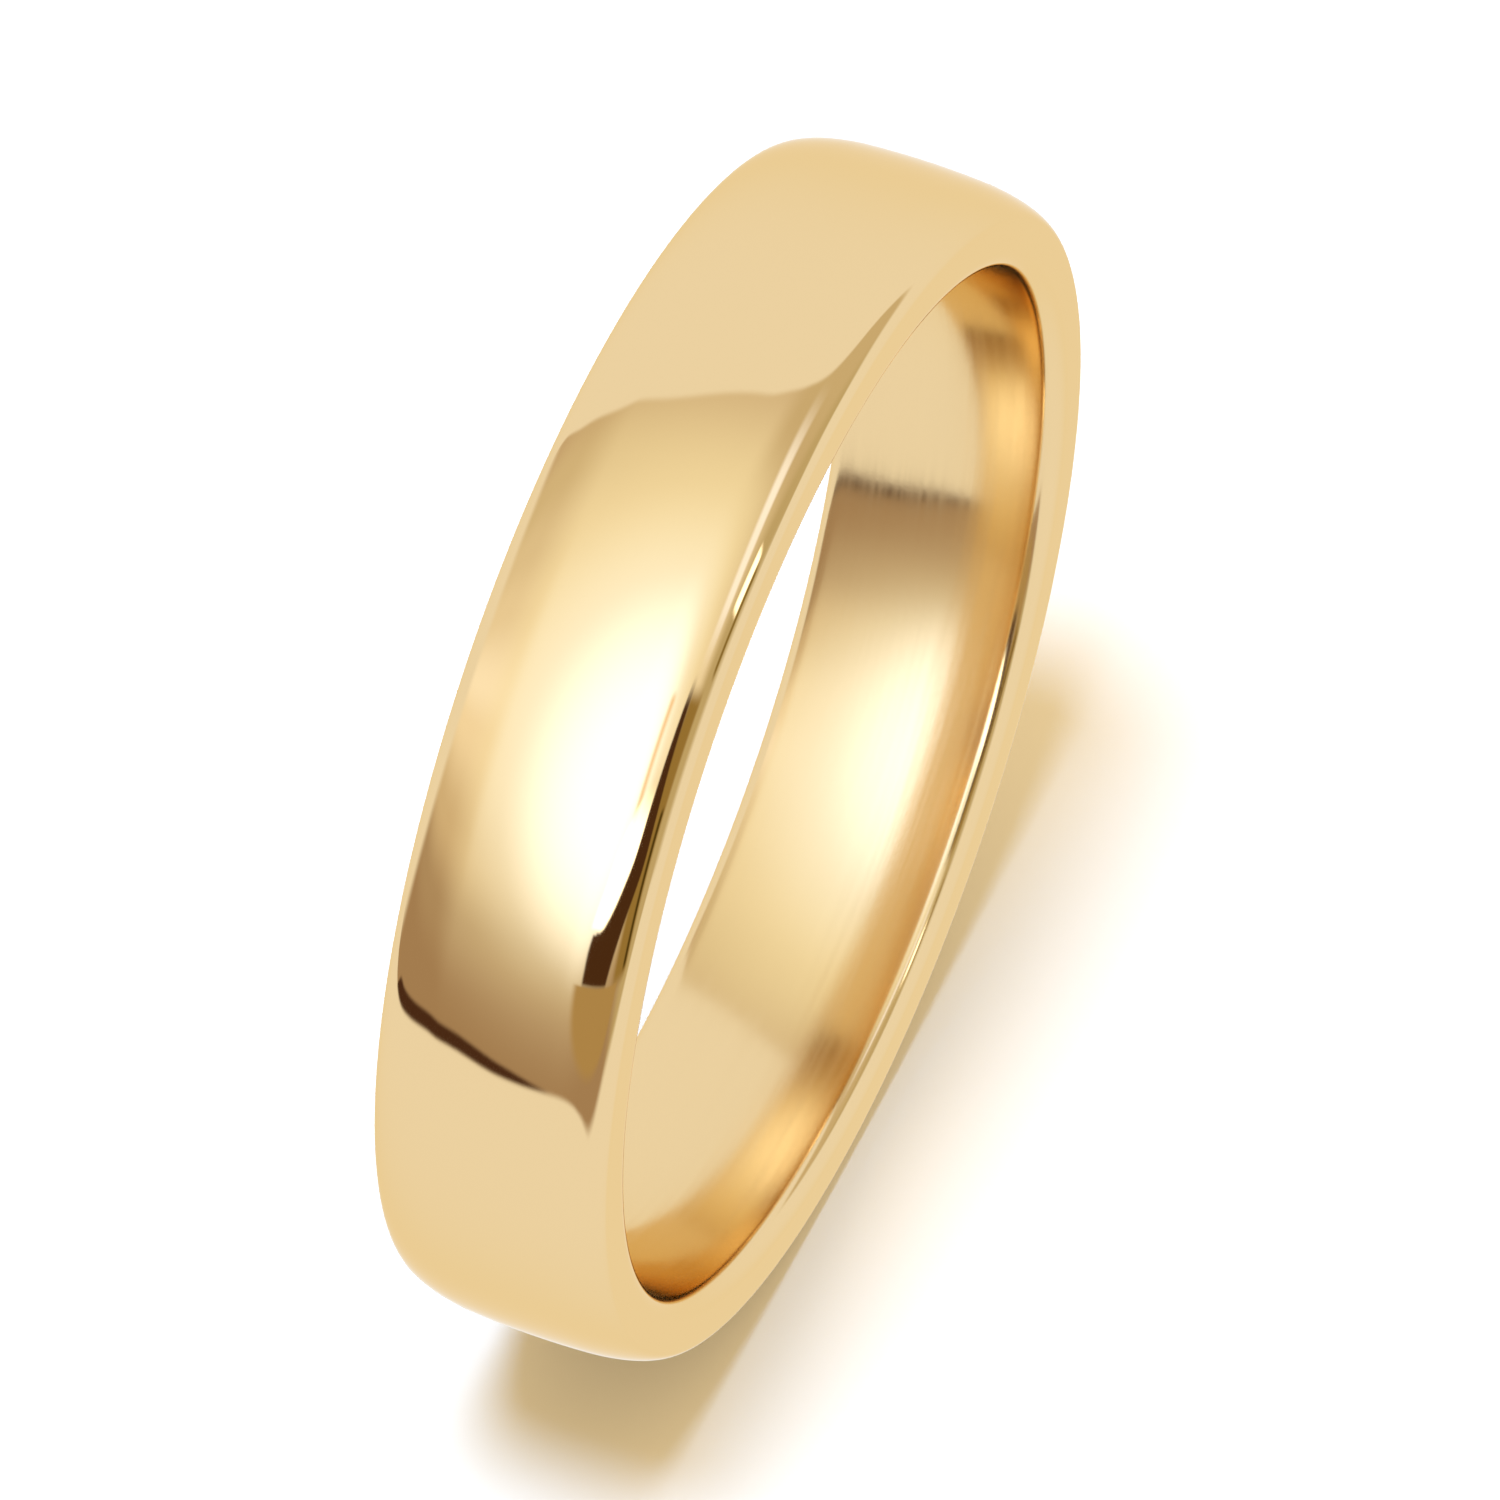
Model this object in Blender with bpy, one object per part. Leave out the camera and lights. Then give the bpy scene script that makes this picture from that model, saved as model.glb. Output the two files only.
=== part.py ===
"""Plain wedding band: one seamless ring of yellow gold, turned and polished.

Metres, +Z up. The ring stands on its rim: the finger axis lies along Y and the origin is
the centre of the ring. The section is drawn in (along Y, out from the axis) and spun round Y,
half a step off the vertical, so that the ring stands on a flat facet and not on an edge.
"""
import math

import bmesh
import bpy
from mathutils import Vector

MM = 0.001

# Driving dimensions
OUTSIDE_DIAMETER = 20.0 * MM
BAND_WIDTH = 4.0 * MM
BORE_DIAMETER = 17.3 * MM

# Outside: a flat crown that rolls over into two soft shoulders
SHOULDER_WIDTH = 1.2 * MM
SHOULDER_DROP = 0.39 * MM

# Inside: narrowest in the middle, swelling gently to a rounded edge on each side
BORE_SWELL = 0.07 * MM
BORE_EDGE_WIDTH = 0.34 * MM
FACE_INNER_DIAMETER = 18.16 * MM

# Steps of each curve in the section, and of the spin
SHOULDER_STEPS = 6
BORE_EDGE_STEPS = 4
BORE_STEPS = 3
SPIN_STEPS = 64
CREASE_ANGLE = math.radians(40)
WELD_DISTANCE = 0.001 * MM

GOLD_COLOUR = (0.86, 0.66, 0.33, 1.0)
GOLD_ROUGHNESS = 0.08

QUARTER_TURN = math.pi / 2


def clear_scene():
    for obj in list(bpy.data.objects):
        bpy.data.objects.remove(obj, do_unlink=True)


def shoulder_curve():
    """Quarter ellipse from the edge of the flat crown down to the flat side face."""
    crown_along = BAND_WIDTH / 2 - SHOULDER_WIDTH
    points = []
    for step in range(SHOULDER_STEPS + 1):
        turn = QUARTER_TURN * step / SHOULDER_STEPS
        along = crown_along + SHOULDER_WIDTH * math.sin(turn)
        out = OUTSIDE_DIAMETER / 2 - SHOULDER_DROP * (1 - math.cos(turn))
        points.append((along, out))
    return points


def bore_out(along):
    """Distance of the bore from the axis."""
    wide_along = BAND_WIDTH / 2 - BORE_EDGE_WIDTH
    return BORE_DIAMETER / 2 + BORE_SWELL * (along / wide_along) ** 2


def bore_edge_curve():
    """Curve from the flat side face round into the bore, in line with both at its ends."""
    wide_along = BAND_WIDTH / 2 - BORE_EDGE_WIDTH
    bore_slope = 2 * BORE_SWELL / wide_along
    face = Vector((BAND_WIDTH / 2, FACE_INNER_DIAMETER / 2))
    bore = Vector((wide_along, bore_out(wide_along)))
    corner = bore + Vector((BORE_EDGE_WIDTH, BORE_EDGE_WIDTH * bore_slope))
    points = []
    for step in range(BORE_EDGE_STEPS + 1):
        share = step / BORE_EDGE_STEPS
        point = face.lerp(corner, share).lerp(corner.lerp(bore, share), share)
        points.append((point.x, point.y))
    return points


def bore_curve():
    """Shallow parabola from the rounded edge to the middle of the bore."""
    wide_along = BAND_WIDTH / 2 - BORE_EDGE_WIDTH
    points = []
    for step in range(1, BORE_STEPS + 1):
        along = wide_along * (1 - step / BORE_STEPS)
        points.append((along, bore_out(along)))
    return points


def section_outline():
    """Closed outline of the section, mirrored about the middle of the band."""
    half = shoulder_curve() + bore_edge_curve() + bore_curve()
    mirrored = [(-along, out) for along, out in reversed(half) if along > 0]
    return half + mirrored


def spin_section(name, outline):
    """Spin a closed outline once round the Y axis into one closed body."""
    bm = bmesh.new()
    half_step = math.pi / SPIN_STEPS
    sideways = math.sin(half_step)
    upwards = math.cos(half_step)
    verts = [bm.verts.new((out * sideways, along, out * upwards)) for along, out in outline]
    edges = []
    for index, vert in enumerate(verts):
        edges.append(bm.edges.new((vert, verts[(index + 1) % len(verts)])))
    bmesh.ops.spin(
        bm,
        geom=verts + edges,
        cent=Vector((0.0, 0.0, 0.0)),
        axis=Vector((0.0, 1.0, 0.0)),
        angle=2 * math.pi,
        steps=SPIN_STEPS,
        use_merge=True,
    )
    bmesh.ops.remove_doubles(bm, verts=bm.verts, dist=WELD_DISTANCE)
    bmesh.ops.recalc_face_normals(bm, faces=bm.faces)
    mesh = bpy.data.meshes.new(name)
    bm.to_mesh(mesh)
    bm.free()
    mesh.shade_smooth()
    mesh.set_sharp_from_angle(angle=CREASE_ANGLE)
    obj = bpy.data.objects.new(name, mesh)
    bpy.context.scene.collection.objects.link(obj)
    return obj


def gold_material():
    material = bpy.data.materials.new("yellow_gold")
    material.use_nodes = True
    shader = material.node_tree.nodes["Principled BSDF"]
    shader.inputs["Base Color"].default_value = GOLD_COLOUR
    shader.inputs["Metallic"].default_value = 1.0
    shader.inputs["Roughness"].default_value = GOLD_ROUGHNESS
    material.diffuse_color = GOLD_COLOUR
    return material


def main():
    clear_scene()
    band = spin_section("band", section_outline())
    band.data.materials.append(gold_material())


main()
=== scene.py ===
"""Looks for the wedding band: a finely turned and polished gold ring standing on a pale table.

The table is lit by a soft key and a warm fill, which the ring shades but doesn't reflect. The ring
reflects a white tent with one opening, where the camera and the lamps stand. Directions round
the ring are given as turn (degrees round the finger axis from +X towards +Z) and swing (degrees
towards -Y).
"""
import bisect
import math

import bmesh
import bpy
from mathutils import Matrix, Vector


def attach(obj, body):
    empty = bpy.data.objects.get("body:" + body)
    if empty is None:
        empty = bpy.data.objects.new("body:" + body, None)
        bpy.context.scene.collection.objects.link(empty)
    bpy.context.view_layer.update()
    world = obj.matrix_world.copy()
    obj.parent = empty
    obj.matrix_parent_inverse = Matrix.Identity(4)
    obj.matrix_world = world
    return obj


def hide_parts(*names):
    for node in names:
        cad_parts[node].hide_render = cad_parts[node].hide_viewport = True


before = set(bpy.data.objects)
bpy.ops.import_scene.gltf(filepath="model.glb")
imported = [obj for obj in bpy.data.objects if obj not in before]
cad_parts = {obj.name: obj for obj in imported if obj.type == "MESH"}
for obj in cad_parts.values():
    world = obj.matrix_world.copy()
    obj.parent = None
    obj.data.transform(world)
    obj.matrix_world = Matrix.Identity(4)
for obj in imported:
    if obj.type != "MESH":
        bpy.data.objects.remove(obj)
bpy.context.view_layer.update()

MM = 0.001

# Section of the band, as in the CAD part but with many more steps
OUTSIDE_RADIUS = 10.0 * MM
HALF_WIDTH = 2.0 * MM
BORE_RADIUS = 8.65 * MM
CROWN_SAG = 0.03 * MM
SHOULDER_WIDTH = 1.05 * MM
SHOULDER_DROP = 0.36 * MM
BORE_SWELL = 0.07 * MM
BORE_EDGE_WIDTH = 0.34 * MM
BORE_EDGE_OUT = 9.08 * MM
BORE_REACH = HALF_WIDTH - BORE_EDGE_WIDTH
CROWN_STEPS = 10
SHOULDER_STEPS = 22
FACE_STEPS = 4
BORE_EDGE_STEPS = 16
BORE_STEPS = 24
SPIN_STEPS = 480
QUARTER_TURN = math.pi / 2

# Camera
CAMERA_AIM = Vector((0.10, -0.205, -0.007)) * MM
CAMERA_AZIMUTH = math.radians(-66.35)
CAMERA_ELEVATION = math.radians(50.55)
CAMERA_DISTANCE = 219.56 * MM
CAMERA_LENS = 326.07
CAMERA_SENSOR = 36.0

# Gold. Roughness is given as (least, change over its noise), bump strength as (outside, bore).
GOLD_COLOUR = (0.84, 0.64, 0.355)
GOLD_SHADE = (0.99, 0.985, 0.97)
GOLD_EDGE_TINT = (0.94, 0.82, 0.60)
BORE_FINISH_END = (8.72 * MM, 8.95 * MM)
BORE_ROUGHNESS = (0.08, 0.12)
OUTSIDE_ROUGHNESS = (0.02, 0.03)
GRAIN_STRETCH = (300, 9000, 300)
SPECK_SCALE = 9000.0
CLOUD_SCALE = 160.0
BUMP_STRENGTH = (0.01, 0.06)
BUMP_DISTANCE = 0.004 * MM

# Table and lights
TABLE_RADIUS = 2.0
TABLE_COLOUR = (0.6, 0.6, 0.6)
KEY_FROM = Vector((-0.22, 0.07, 1.0))
KEY_COLOUR = (0.47, 0.69, 1.0)
KEY_STRENGTH = 5.3
KEY_ANGLE = math.radians(20)
FILL_COLOUR = (1.0, 0.74, 0.38)
FILL_STRENGTH = 4.7
FILL_ANGLE = math.radians(130)

# Opening of the tent, as a patch of soft panels seen only in reflections
PATCH_FROM = Vector((-8.0, 0.0, 5.0)) * MM
PATCH_DISTANCE = 200 * MM
PATCH_TURNS = (4, 216)
PATCH_SWINGS = (-76, 66)
PATCH_STEPS_PER_DEGREE = 2
TENT = (1.0, 1.0, 1.0)

# Colour of the room behind everything else in the opening, by turn
ROOM = [
    (60, (0.68, 0.57, 0.44)),
    (80, (0.77, 0.69, 0.53)),
    (98, (0.87, 0.80, 0.67)),
    (112, (0.97, 0.91, 0.80)),
    (130, (1.18, 1.18, 1.20)),
    (140, (1.08, 1.02, 0.92)),
    (160, (0.76, 0.65, 0.50)),
    (176, (0.50, 0.39, 0.28)),
    (190, (0.44, 0.32, 0.22)),
]
# Lamp and its glow as soft ovals, widest first: colour, centre, radii and softness
LAMP_OVALS = [
    ((1.15, 1.16, 1.06), (122, -6), (52, 24), 0.6),
    ((1.25, 1.42, 1.75), (132, -6), (36, 17), 0.5),
    ((1.9, 2.2, 2.9), (138, -4), (29, 12), 0.5),
]
# Soft-edged panels on the wall and round the camera: colour, turns, swings and softness
WALL_PANELS = [
    ((2.6, 2.6, 2.6), (85, 99), (30, 38), 1.5),
    ((0.28, 0.20, 0.05), (86, 112), (39, 44), 2.0),
]
CAMERA_PANELS = [
    ((0.36, 0.25, 0.08), (118, 178), (20, 34), 2.5),
    ((0.09, 0.06, 0.01), (142, 176), (29, 32.5), 1.2),
]
WALL_COLOUR = (0.70, 0.61, 0.44)
WALL_SHADE = (0.62, 0.54, 0.35)
STRIP_LIGHT = (1.25, 1.35, 1.7)
STREAK_LIGHT = (1.05, 0.72, 0.38)
FACE_LIGHT = (3.2, 3.2, 3.2)
HOOD_DARK = (0.08, 0.035, 0.015)
LIP_DARK = (0.08, 0.035, 0.02)
STAND_COLOUR = (0.50, 0.36, 0.17)
STAND_RADII = (19, 14)
HOOD_END = 178

# Edges of the opening as (swing, turn), and the width of the dark lip inside its right edge
LEFT_EDGE = [(-62, 52), (-56, 58), (-50, 63.5), (-44, 67), (-35, 68.5), (-27, 68.5), (-19, 66), (-11, 60.5),
             (-4, 58), (2, 55.5), (9, 50), (12.5, 42), (14.5, 30), (17, 21), (21, 20.5), (28.5, 32), (34, 40.5),
             (38, 50), (46, 64), (54, 84)]
RIGHT_EDGE = [(-60, 216), (-50, 212), (-42, 208.5), (-34, 204.5), (-26, 201.5), (-20, 201), (-14, 202.5),
              (-3, 202), (3, 203), (8, 205.5), (14, 209.5), (18, 208), (22, 204), (26, 199), (36, 188),
              (48, 160)]
LIP_WIDTH = [(-49, 0), (-46.5, 4.5), (-42, 5), (-34, 4.5), (-20, 3.5), (-14, 2.5), (-10, 1), (-6, 0)]
OPENING_LOW_END = (-66, -56)
OPENING_HIGH_END = (58, 42)

# Edges of the dark hood, and of the lit face of the lamp beside it, as (turn, swing)
HOOD_LOW_EDGE = [(116, 17.5), (130, 17), (141, 16.5), (151, 15.5), (158, 12), (163.5, 8), (166.5, 4.5),
                 (167.5, 1), (178, 0)]
HOOD_HIGH_EDGE = [(116, 20.5), (132, 22.5), (144, 25), (154, 25.5), (164, 20), (172, 16), (178, 14)]
FACE_LOW_EDGE = [(138, 11), (143, 7), (150, 3.5), (157, 2), (162, 0.5), (166, -0.5)]


def smooth(low, high, value):
    """0 below low, 1 above high, with a soft ramp between. Falls if low is above high."""
    share = min(max((value - low) / (high - low), 0.0), 1.0)
    return share * share * (3 - 2 * share)


def mix(first, second, share):
    return tuple(a + (b - a) * share for a, b in zip(first, second))


def ramp(stops, value):
    """Colour at value on a list of (position, colour) stops."""
    if value <= stops[0][0]:
        return stops[0][1]
    for (low, first), (high, second) in zip(stops, stops[1:]):
        if value <= high:
            return mix(first, second, smooth(low, high, value))
    return stops[-1][1]


# ---------------------------------------------------------------- ring

def bend(start, corner, end, steps):
    """Points after start on the curve that leaves start and reaches end along the lines to corner."""
    points = []
    for step in range(1, steps + 1):
        share = step / steps
        points.append(mix(mix(start, corner, share), mix(corner, end, share), share))
    return points


def bore_out(along):
    """Radius of the bore, which swells gently from its middle towards each side."""
    return BORE_RADIUS + BORE_SWELL * (along / BORE_REACH) ** 2


def section_outline():
    """Closed outline of the section as (along, out) points, mirrored about the middle."""
    half = []
    crown_half = HALF_WIDTH - SHOULDER_WIDTH
    for step in range(CROWN_STEPS + 1):
        share = step / CROWN_STEPS
        half.append((crown_half * share, OUTSIDE_RADIUS - CROWN_SAG * share ** 2))
    # the shoulder leaves the crown at the crown's own slope, so that reflections cross without a line
    crown_slope = 2 * CROWN_SAG / crown_half
    drop = SHOULDER_DROP - crown_slope * SHOULDER_WIDTH
    for step in range(1, SHOULDER_STEPS + 1):
        turn = QUARTER_TURN * step / SHOULDER_STEPS
        reach = SHOULDER_WIDTH * math.sin(turn)
        out = OUTSIDE_RADIUS - CROWN_SAG - crown_slope * reach - drop * (1 - math.cos(turn))
        half.append((crown_half + reach, out))
    face_top = half[-1][1]
    for step in range(1, FACE_STEPS + 1):
        half.append((HALF_WIDTH, face_top + (BORE_EDGE_OUT - face_top) * step / FACE_STEPS))
    bore_edge = (BORE_REACH, bore_out(BORE_REACH))
    bore_slope = 2 * BORE_SWELL / BORE_REACH
    corner = (HALF_WIDTH, bore_edge[1] + BORE_EDGE_WIDTH * bore_slope)
    half += bend(half[-1], corner, bore_edge, BORE_EDGE_STEPS)
    for step in range(1, BORE_STEPS + 1):
        along = BORE_REACH * (1 - step / BORE_STEPS)
        half.append((along, bore_out(along)))
    mirrored = [(-along, out) for along, out in reversed(half) if along > 0]
    return half + mirrored


def new_object(name, bm):
    bmesh.ops.recalc_face_normals(bm, faces=bm.faces)
    mesh = bpy.data.meshes.new(name)
    bm.to_mesh(mesh)
    bm.free()
    obj = bpy.data.objects.new(name, mesh)
    bpy.context.scene.collection.objects.link(obj)
    return obj


def make_band():
    outline = section_outline()
    bm = bmesh.new()
    rows = []
    for step in range(SPIN_STEPS):
        turn = 2 * math.pi * (step + 0.5) / SPIN_STEPS
        side, up = math.sin(turn), math.cos(turn)
        rows.append([bm.verts.new((out * side, along, out * up)) for along, out in outline])
    for step in range(SPIN_STEPS):
        here, there = rows[step], rows[(step + 1) % SPIN_STEPS]
        for index in range(len(outline)):
            after = (index + 1) % len(outline)
            bm.faces.new((here[index], here[after], there[after], there[index]))
    obj = new_object("polished_band", bm)
    obj.data.shade_smooth()
    return obj


# ---------------------------------------------------------------- materials

def new_material(name):
    material = bpy.data.materials.new(name)
    material.use_nodes = True
    material.node_tree.nodes.clear()
    return material, material.node_tree.nodes, material.node_tree.links


def math_node(nodes, links, operation, *values):
    node = nodes.new("ShaderNodeMath")
    node.operation = operation
    for socket, value in zip(node.inputs, values):
        if isinstance(value, bpy.types.NodeSocket):
            links.new(value, socket)
        else:
            socket.default_value = value
    return node.outputs[0]


def map_range(nodes, links, value, limits, results):
    """Value carried smoothly from one pair of limits to another."""
    node = nodes.new("ShaderNodeMapRange")
    node.interpolation_type = "SMOOTHSTEP"
    links.new(value, node.inputs["Value"])
    node.inputs["From Min"].default_value, node.inputs["From Max"].default_value = limits
    node.inputs["To Min"].default_value, node.inputs["To Max"].default_value = results
    return node.outputs["Result"]


def noise(nodes, links, place, scale, detail):
    """Strength of a noise texture, from 0 to 1."""
    node = nodes.new("ShaderNodeTexNoise")
    node.inputs["Scale"].default_value = scale
    node.inputs["Detail"].default_value = detail
    links.new(place, node.inputs["Vector"])
    return node.outputs["Fac"]


def gold_material():
    """Polished gold: a mirror outside, a finer satin with turning grain in the bore."""
    material, nodes, links = new_material("yellow_gold_polished")
    place = nodes.new("ShaderNodeTexCoord").outputs["Object"]
    parts = nodes.new("ShaderNodeSeparateXYZ")
    links.new(place, parts.inputs[0])
    x, y, z = parts.outputs
    square = math_node(nodes, links, "ADD",
                       math_node(nodes, links, "MULTIPLY", x, x),
                       math_node(nodes, links, "MULTIPLY", z, z))
    radius = math_node(nodes, links, "SQRT", square)
    in_bore = map_range(nodes, links, radius, BORE_FINISH_END, (1.0, 0.0))

    # Turning grain, fine across the band and long round it
    stretch = nodes.new("ShaderNodeMapping")
    stretch.inputs["Scale"].default_value = GRAIN_STRETCH
    links.new(place, stretch.inputs["Vector"])
    grain = noise(nodes, links, stretch.outputs["Vector"], 1.0, 3.0)
    # Fine pitting left by polishing, and a slow change of the finish over the band
    speck = noise(nodes, links, place, SPECK_SCALE, 2.0)
    cloud = noise(nodes, links, place, CLOUD_SCALE, 2.0)

    rough = nodes.new("ShaderNodeMix")
    links.new(in_bore, rough.inputs["Factor"])
    for side, pattern, (least, change) in (("A", cloud, OUTSIDE_ROUGHNESS), ("B", grain, BORE_ROUGHNESS)):
        links.new(math_node(nodes, links, "MULTIPLY_ADD", pattern, change, least), rough.inputs[side])

    warm = nodes.new("ShaderNodeMix")
    warm.data_type = "RGBA"
    links.new(cloud, warm.inputs["Factor"])
    warm.inputs["A"].default_value = (*GOLD_COLOUR, 1.0)
    warm.inputs["B"].default_value = (*(part * shade for part, shade in zip(GOLD_COLOUR, GOLD_SHADE)), 1.0)

    bump = nodes.new("ShaderNodeBump")
    bump.inputs["Distance"].default_value = BUMP_DISTANCE
    links.new(map_range(nodes, links, in_bore, (0.0, 1.0), BUMP_STRENGTH), bump.inputs["Strength"])
    links.new(math_node(nodes, links, "ADD", grain, speck), bump.inputs["Height"])

    shader = nodes.new("ShaderNodeBsdfPrincipled")
    shader.inputs["Metallic"].default_value = 1.0
    shader.inputs["Specular Tint"].default_value = (*GOLD_EDGE_TINT, 1.0)
    links.new(warm.outputs["Result"], shader.inputs["Base Color"])
    links.new(rough.outputs["Result"], shader.inputs["Roughness"])
    links.new(bump.outputs["Normal"], shader.inputs["Normal"])
    output = nodes.new("ShaderNodeOutputMaterial")
    links.new(shader.outputs["BSDF"], output.inputs["Surface"])
    return material


def table_material():
    material, nodes, links = new_material("pale_table")
    shader = nodes.new("ShaderNodeBsdfDiffuse")
    shader.inputs["Color"].default_value = (*TABLE_COLOUR, 1.0)
    output = nodes.new("ShaderNodeOutputMaterial")
    links.new(shader.outputs["BSDF"], output.inputs["Surface"])
    return material


def light_material():
    """Glows with the colour stored on the mesh."""
    material, nodes, links = new_material("reflected_light")
    stored = nodes.new("ShaderNodeVertexColor")
    stored.layer_name = "Light"
    glow = nodes.new("ShaderNodeEmission")
    links.new(stored.outputs["Color"], glow.inputs["Color"])
    output = nodes.new("ShaderNodeOutputMaterial")
    links.new(glow.outputs["Emission"], output.inputs["Surface"])
    return material


# ---------------------------------------------------------------- stage

def panel(turn, swing, turns, swings, soft):
    """How far a direction lies inside a soft-edged panel, from 0 to 1."""
    inside = smooth(turns[0] - soft, turns[0] + soft, turn)
    inside *= smooth(turns[1] + soft, turns[1] - soft, turn)
    inside *= smooth(swings[0] - soft, swings[0] + soft, swing)
    return inside * smooth(swings[1] + soft, swings[1] - soft, swing)


def oval(turn, swing, centre, radii, soft):
    """How far a direction lies inside a soft-edged oval, from 0 to 1."""
    reach = math.hypot((turn - centre[0]) / radii[0], (swing - centre[1]) / radii[1])
    return smooth(1 + soft, 1 - soft, reach)


def track(points, value):
    """Height at value on a smooth curve through (value, height) points."""
    places = [place for place, height in points]
    last = len(points) - 2
    index = min(max(bisect.bisect(places, value) - 1, 0), last)
    share = min(max((value - places[index]) / (places[index + 1] - places[index]), 0.0), 1.0)
    before, start, end, after = (points[min(max(index + step, 0), last + 1)] for step in (-1, 0, 1, 2))
    span = end[0] - start[0]
    leave = (end[1] - before[1]) / (end[0] - before[0]) * span
    arrive = (after[1] - start[1]) / (after[0] - start[0]) * span
    bent = share * share * (3 - 2 * share)
    height = start[1] * (1 - bent) + end[1] * bent
    return height + leave * share * (1 - share) ** 2 - arrive * share * share * (1 - share)


def add_panels(panels, turn, swing, light):
    for colour, turns, swings, soft in panels:
        light = mix(light, colour, panel(turn, swing, turns, swings, soft))
    return light


def lamp_light(turn, swing, light):
    """Adds the lamp and its glow on the tent beside the camera."""
    for colour, centre, radii, soft in LAMP_OVALS:
        light = mix(light, colour, oval(turn, swing, centre, radii, soft))
    return light


def upper_light(turn, swing, light):
    """Adds the olive wall above the lamp, with a thin strip of light and its panels."""
    light = mix(light, WALL_COLOUR, smooth(84, 58, turn) * smooth(-4, 6, swing))
    light = mix(light, WALL_SHADE, smooth(22, 34, swing))
    strip_swing = 12 + 10 * smooth(48, 110, turn)
    strip = smooth(4.5, 1.5, abs(swing - strip_swing)) * smooth(50, 78, turn) * smooth(116, 96, turn)
    light = mix(light, STRIP_LIGHT, strip)
    return add_panels(WALL_PANELS, turn, swing, light)


def camera_dark(turn, swing, light):
    """Adds the dark camera, its hood and its stand, and the lit face of the lamp under the hood."""
    light = add_panels(CAMERA_PANELS, turn, swing, light)
    light = mix(light, STREAK_LIGHT, 0.8 * panel(turn, swing, (120, 146), (6.8, 9), 1.2))
    low = track(HOOD_LOW_EDGE, turn)
    high = track(HOOD_HIGH_EDGE, turn)
    face_low = track(FACE_LOW_EDGE, turn)
    face = smooth(face_low - 0.9, face_low + 0.9, swing) * smooth(low + 0.6, low - 0.6, swing)
    light = mix(light, FACE_LIGHT, face * smooth(136, 148, turn) * smooth(166.6, 165.6, turn))
    hood = smooth(low - 0.6, low + 0.6, swing) * smooth(high + 0.8, high - 0.8, swing)
    light = mix(light, HOOD_DARK, hood * smooth(114, 122, turn) * smooth(HOOD_END, HOOD_END - 1, turn))
    stand = oval(turn, swing, (HOOD_END, 11), STAND_RADII, 0.12) * smooth(HOOD_END - 0.6, HOOD_END, turn)
    return mix(light, STAND_COLOUR, stand)


def opening_light(turn, swing):
    """Colour of the surroundings in one direction."""
    room = ramp(ROOM, turn)
    room = lamp_light(turn, swing, room)
    room = upper_light(turn, swing, room)
    room = camera_dark(turn, swing, room)
    left = track(LEFT_EDGE, swing)
    right = track(RIGHT_EDGE, swing)
    soft = 1.0 + 5.0 * smooth(4, 30, swing)
    inside = smooth(left - soft, left + soft, turn) * smooth(right + soft, right - soft, turn)
    inside *= smooth(*OPENING_LOW_END, swing) * smooth(*OPENING_HIGH_END, swing)
    light = mix(TENT, room, inside)
    lip = track(LIP_WIDTH, swing)
    in_lip = smooth(right - lip - 0.7, right - lip + 0.7, turn) * smooth(right + 0.7, right - 0.7, turn)
    return mix(light, LIP_DARK, in_lip * smooth(0, 1.5, lip))


def direction(turn, swing):
    turn, swing = math.radians(turn), math.radians(swing)
    return Vector((math.cos(swing) * math.cos(turn), -math.sin(swing), math.cos(swing) * math.sin(turn)))


def degrees_between(limits):
    count = (limits[1] - limits[0]) * PATCH_STEPS_PER_DEGREE
    return [limits[0] + step / PATCH_STEPS_PER_DEGREE for step in range(count + 1)]


def make_opening():
    """Curved patch that holds the opening, seen only in reflections."""
    bm = bmesh.new()
    layer = bm.verts.layers.float_color.new("Light")
    grid = []
    for turn in degrees_between(PATCH_TURNS):
        row = []
        for swing in degrees_between(PATCH_SWINGS):
            vert = bm.verts.new(PATCH_FROM + direction(turn, swing) * PATCH_DISTANCE)
            vert[layer] = (*opening_light(turn, swing), 1.0)
            row.append(vert)
        grid.append(row)
    for first, second in zip(grid, grid[1:]):
        for index in range(len(first) - 1):
            bm.faces.new((first[index], first[index + 1], second[index + 1], second[index]))
    obj = new_object("tent_opening", bm)
    obj.data.materials.append(light_material())
    obj.visible_camera = False
    obj.visible_diffuse = False
    obj.visible_shadow = False


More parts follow.
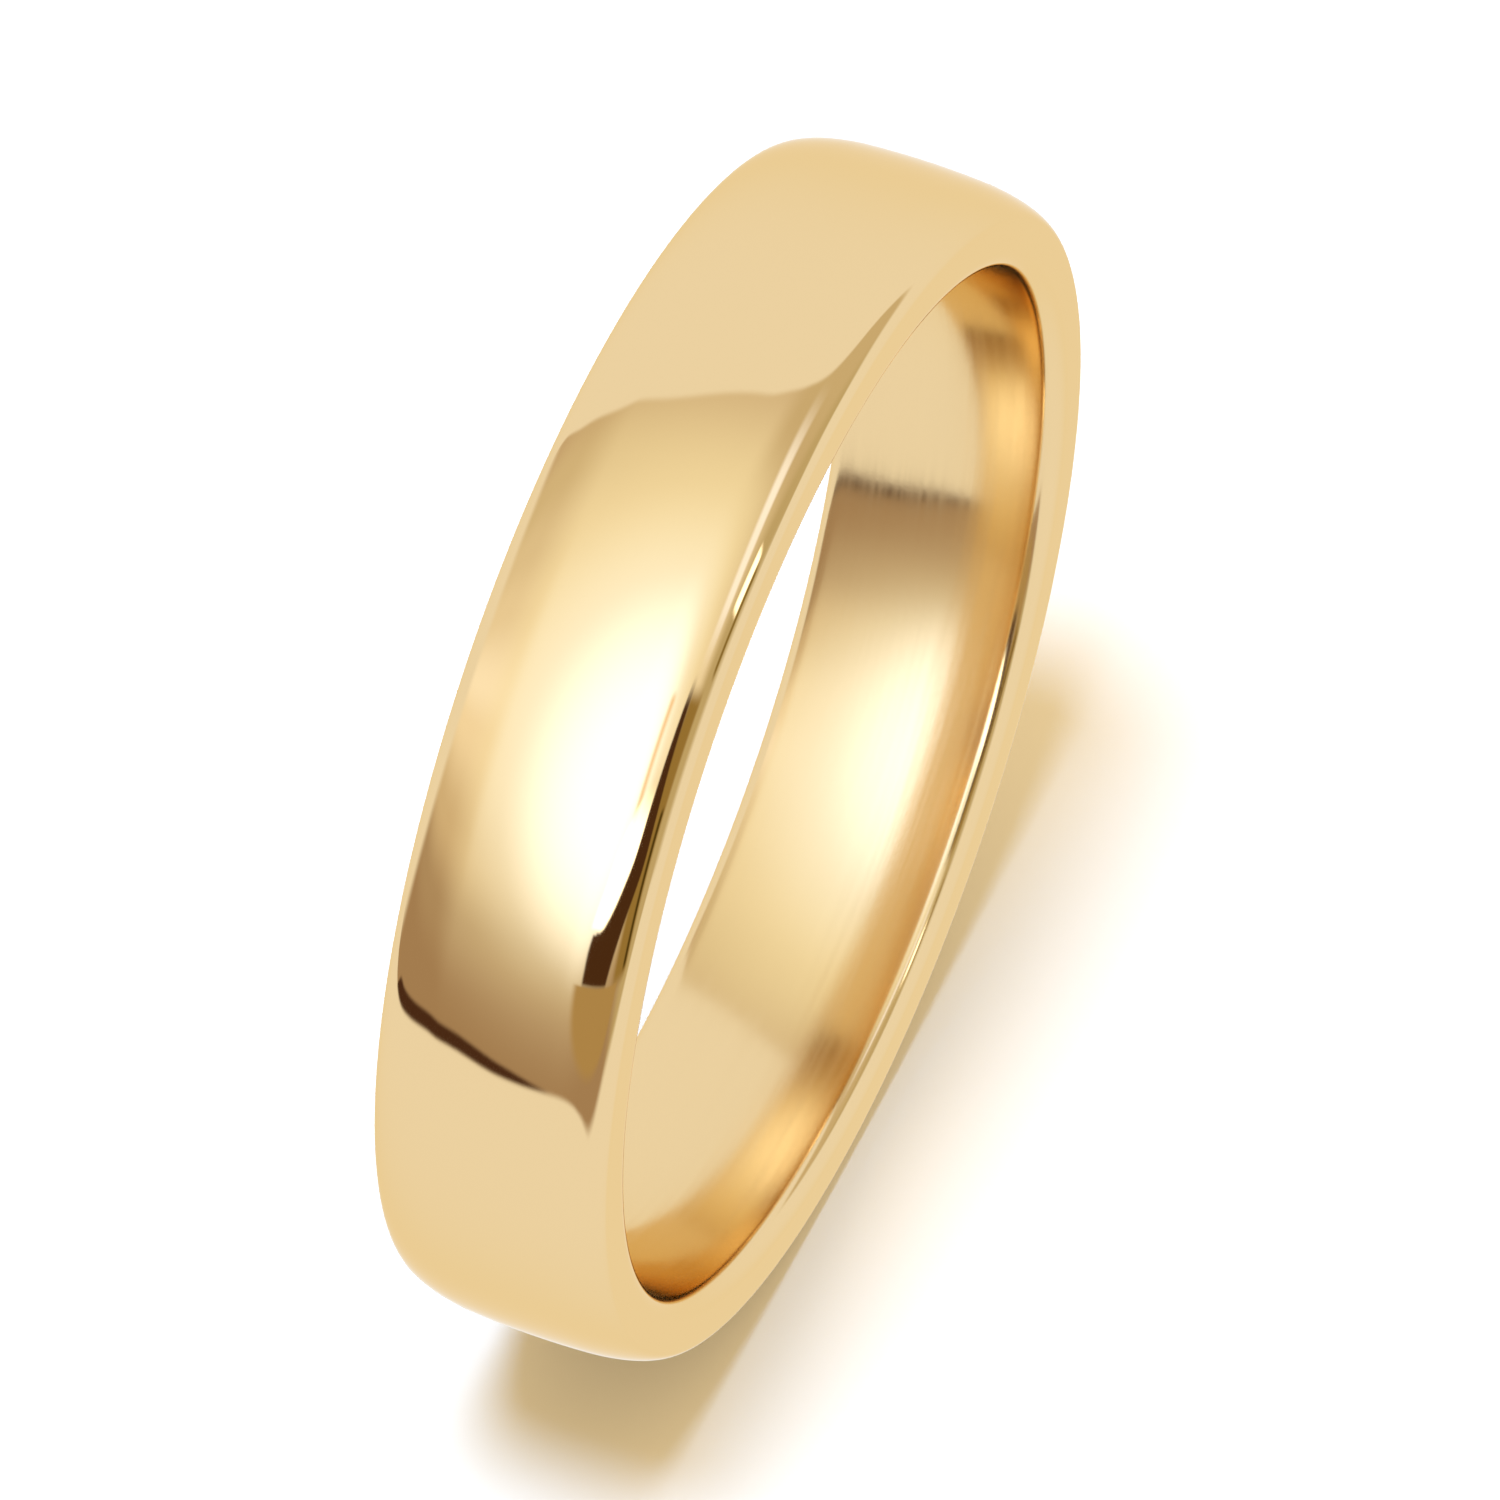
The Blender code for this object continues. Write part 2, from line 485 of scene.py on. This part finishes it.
def make_table(table_height):
    bm = bmesh.new()
    bmesh.ops.create_circle(bm, cap_ends=True, segments=96, radius=TABLE_RADIUS)
    bmesh.ops.translate(bm, verts=bm.verts, vec=(0, 0, table_height))
    obj = new_object("table", bm)
    obj.data.materials.append(table_material())
    obj.visible_glossy = False


def make_world():
    """The white tent, which is seen and reflected but doesn't light the table."""
    world = bpy.data.worlds.new("white_tent")
    bpy.context.scene.world = world
    world.use_nodes = True
    background = world.node_tree.nodes["Background"]
    background.inputs["Color"].default_value = (*TENT, 1.0)
    background.inputs["Strength"].default_value = 1.0
    world.cycles_visibility.diffuse = False


def make_sun(name, towards, colour, strength, angle):
    data = bpy.data.lights.new(name, "SUN")
    data.color = colour
    data.energy = strength
    data.angle = angle
    obj = bpy.data.objects.new(name, data)
    obj.rotation_mode = "QUATERNION"
    obj.rotation_quaternion = towards.to_track_quat("Z", "Y")
    obj.visible_glossy = False
    bpy.context.scene.collection.objects.link(obj)


def make_camera():
    data = bpy.data.cameras.new("camera")
    data.lens = CAMERA_LENS
    data.sensor_width = CAMERA_SENSOR
    data.clip_start = 0.01
    data.clip_end = 10.0
    obj = bpy.data.objects.new("camera", data)
    level = math.cos(CAMERA_ELEVATION)
    back = Vector((math.sin(CAMERA_AZIMUTH) * level, -math.cos(CAMERA_AZIMUTH) * level,
                   math.sin(CAMERA_ELEVATION)))
    obj.location = CAMERA_AIM + back * CAMERA_DISTANCE
    obj.rotation_mode = "QUATERNION"
    obj.rotation_quaternion = back.to_track_quat("Z", "Y")
    bpy.context.scene.collection.objects.link(obj)
    bpy.context.scene.camera = obj


def main():
    band = make_band()
    band.data.materials.append(gold_material())
    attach(band, "root")
    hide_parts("band")
    table_height = -OUTSIDE_RADIUS
    make_table(table_height)
    make_opening()
    make_world()
    make_sun("key", KEY_FROM, KEY_COLOUR, KEY_STRENGTH, KEY_ANGLE)
    make_sun("fill", Vector((0, 0, 1)), FILL_COLOUR, FILL_STRENGTH, FILL_ANGLE)
    make_camera()
    bpy.context.scene.view_settings.view_transform = "Standard"


main()
